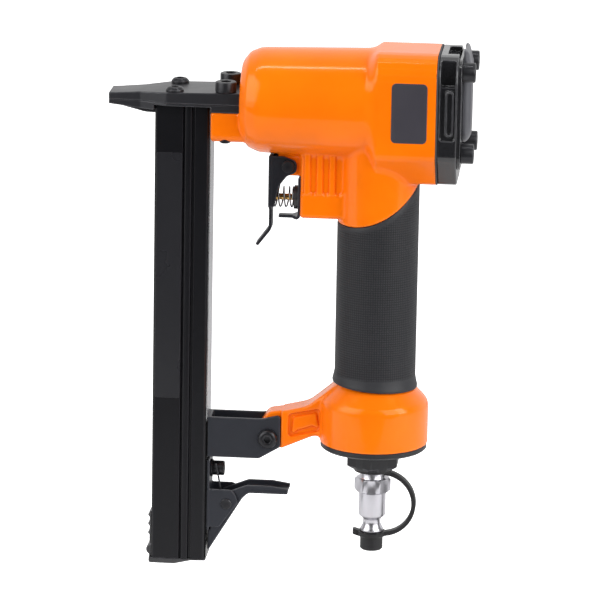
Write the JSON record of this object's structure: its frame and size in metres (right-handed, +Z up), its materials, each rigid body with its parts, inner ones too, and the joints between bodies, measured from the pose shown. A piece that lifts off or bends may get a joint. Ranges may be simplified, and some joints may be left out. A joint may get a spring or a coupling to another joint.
{
  "type": "pneumatic upholstery stapler",
  "caption": "Air-driven upholstery staple gun with a straight pistol grip, a long magazine hung parallel to the handle, a nose plate, a trigger valve and an air plug.",
  "frame": {"origin": "centre of the staple exit on the face of the nose tip, on the driver line", "axes": "+X back along the driver line from the nose to the rear cap, +Y to the tool's right side as held, +Z up, away from the handle and the magazine"},
  "size_m": [0.1594, 0.0484, 0.2369],
  "materials": {
    "orange_paint": "gloss orange paint on an aluminium casting",
    "black_paint": "satin black paint",
    "black_anodised": "black anodised aluminium section",
    "blackened_steel": "phosphated and oiled sheet steel",
    "black_fasteners": "black oxide steel",
    "bright_steel": "ground steel",
    "spring_steel": "drawn wire",
    "brass": "turned brass",
    "chrome": "nickel plate",
    "grip_rubber": "matt rubber with a fine square pattern",
    "black_rubber": "smooth rubber",
    "valve_plastic": "moulded plastic",
    "gasket": "pressed fibre",
    "blank_pad": "blank satin black film"
  },
  "bodies": {
    "tool": {"housing": "orange_paint", "cylinder_liner": "bright_steel", "liner_seal": "black_rubber", "bumper": "black_rubber", "cap_gasket": "gasket", "rear_cap": "black_paint", "exhaust_plate": "black_paint", "exhaust_hood": "black_paint", "cap_screws": "black_fasteners", "side_pad": "blank_pad", "nose_plate": "blackened_steel", "driver_guide": "blackened_steel", "nose_screws": "black_fasteners", "nose_bolts": "black_fasteners", "magazine_channel": "black_anodised", "magazine_face": "blank_pad", "backing_strip": "bright_steel", "hanger": "blackened_steel", "hanger_screws": "bright_steel", "hanger_bolt": "black_fasteners", "hanger_nut": "bright_steel", "latch_bracket": "blackened_steel", "latch_screw": "black_fasteners", "latch_pin": "black_fasteners", "latch_spring": "spring_steel", "trigger_pin": "black_fasteners", "trigger_spring": "spring_steel", "stop_plate": "blackened_steel", "valve_bush": "valve_plastic", "valve_seals": "black_rubber", "valve_spring": "spring_steel", "head_valve_spring": "spring_steel", "grip": "grip_rubber", "end_cap": "black_paint", "end_cap_seal": "black_rubber", "air_plug": "chrome", "cap_strap": "black_rubber"},
    "drive_piston": {"piston": "bright_steel", "piston_seal": "black_rubber", "driver_blade": "bright_steel", "driver_pin": "bright_steel"},
    "head_valve": {"head_valve": "valve_plastic", "head_valve_seal": "black_rubber"},
    "magazine_drawer": {"staple_rail": "bright_steel", "rail_rivet": "bright_steel", "guide_rod": "bright_steel", "magazine_tail": "black_paint", "pusher_spring": "spring_steel"},
    "staple_pusher": {"pusher": "brass"},
    "latch": {"latch_lever": "blackened_steel"},
    "trigger": {"trigger": "blackened_steel"},
    "valve_stem": {"valve_stem": "brass"},
    "dust_cap": {"dust_cap": "black_rubber"}
  },
  "joints": [
    {"name": "trigger_pull", "type": "hinge", "parent": "tool", "child": "trigger", "pos_m": [0.0789, 0, -0.0281], "axis": [0, -1, 0], "range_deg": [0, 6], "stiffness_Nm_per_rad": 0.6, "springref_deg": -20.05, "deforming": ["trigger_spring"]},
    {"name": "valve_push", "type": "slide", "parent": "tool", "child": "valve_stem", "axis": [1, 0, 0], "range_m": [0, 0.0016], "deforming": ["valve_spring"]},
    {"name": "drive_stroke", "type": "slide", "parent": "tool", "child": "drive_piston", "axis": [-1, 0, 0], "range_m": [0, 0.0455]},
    {"name": "head_valve_lift", "type": "slide", "parent": "tool", "child": "head_valve", "axis": [1, 0, 0], "range_m": [0, 0.0026], "stiffness_N_per_m": 2000, "springref_m": -0.003, "deforming": ["head_valve_spring"]},
    {"name": "magazine_slide", "type": "slide", "parent": "tool", "child": "magazine_drawer", "axis": [0, 0, -1], "range_m": [0, 0.11]},
    {"name": "pusher_slide", "type": "slide", "parent": "magazine_drawer", "child": "staple_pusher", "axis": [0, 0, -1], "range_m": [0, 0.115], "stiffness_N_per_m": 20, "springref_m": -0.12, "deforming": ["pusher_spring"]},
    {"name": "latch_release", "type": "hinge", "parent": "tool", "child": "latch", "pos_m": [0.0538, 0, -0.1821], "axis": [0, -1, 0], "range_deg": [0, 18], "stiffness_Nm_per_rad": 0.15, "springref_deg": -34.38, "deforming": ["latch_spring"]},
    {"name": "dust_cap_pull", "type": "slide", "parent": "tool", "child": "dust_cap", "axis": [0, 0, -1], "range_m": [0, 0.012], "deforming": ["cap_strap"]}
  ],
  "couplings": [
    {"joint": "valve_push", "follows": "trigger_pull", "m_per_rad": 0.0148}
  ]
}
